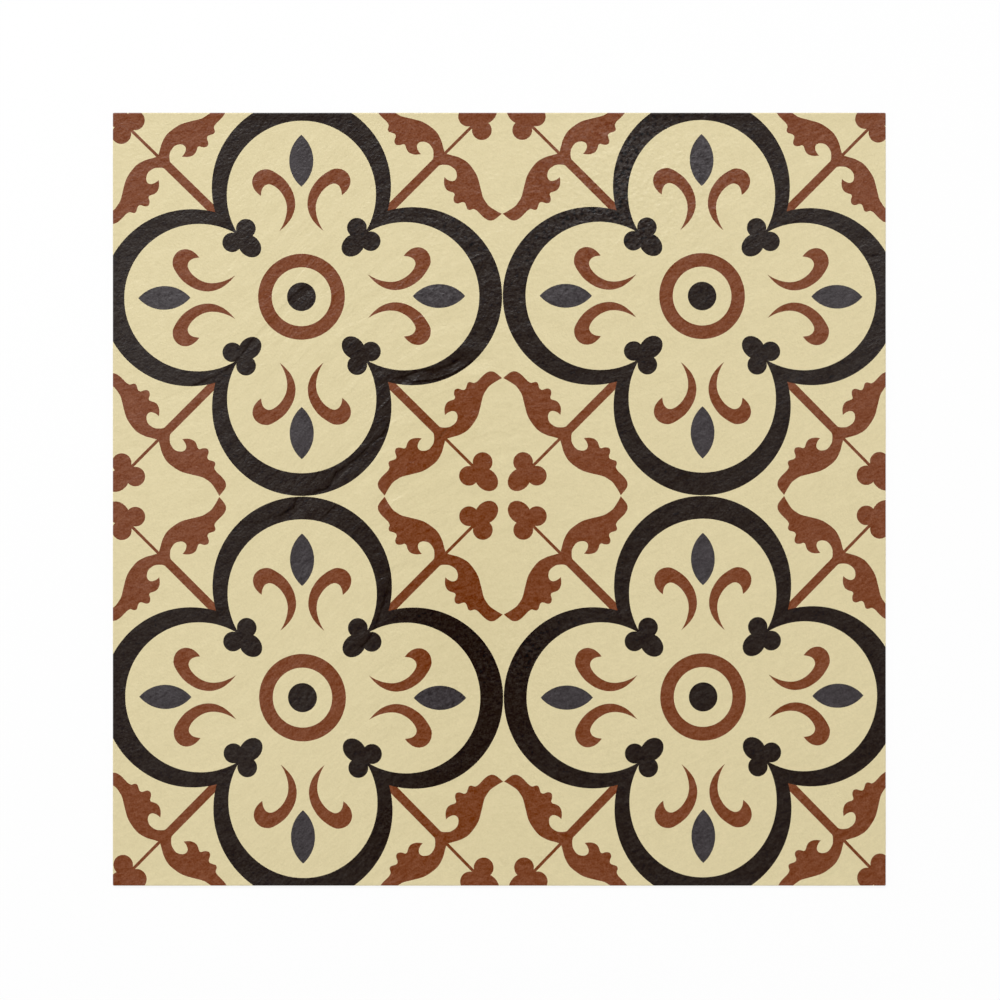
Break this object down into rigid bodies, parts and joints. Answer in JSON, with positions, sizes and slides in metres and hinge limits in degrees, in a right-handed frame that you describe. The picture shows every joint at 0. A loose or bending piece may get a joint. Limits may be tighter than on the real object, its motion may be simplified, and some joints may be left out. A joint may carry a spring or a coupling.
{
  "type": "vinyl floor tile",
  "caption": "Square flexible vinyl floor tile with a traditional encaustic-style print, a fine cleft emboss on its face, punched edges and a plain flat back.",
  "frame": {"origin": "middle of the flat back, on the surface that the tile lies on", "axes": "+Z out of the printed face, X and Y along the sides, +Y towards the top of the print"},
  "size_m": [0.3048, 0.3048, 0.0015],
  "materials": {
    "printed_vinyl": "satin embossed wear film over a cream, black and rust print"
  },
  "bodies": {
    "root": {"vinyl_tile": "printed_vinyl"}
  },
  "joints": []
}
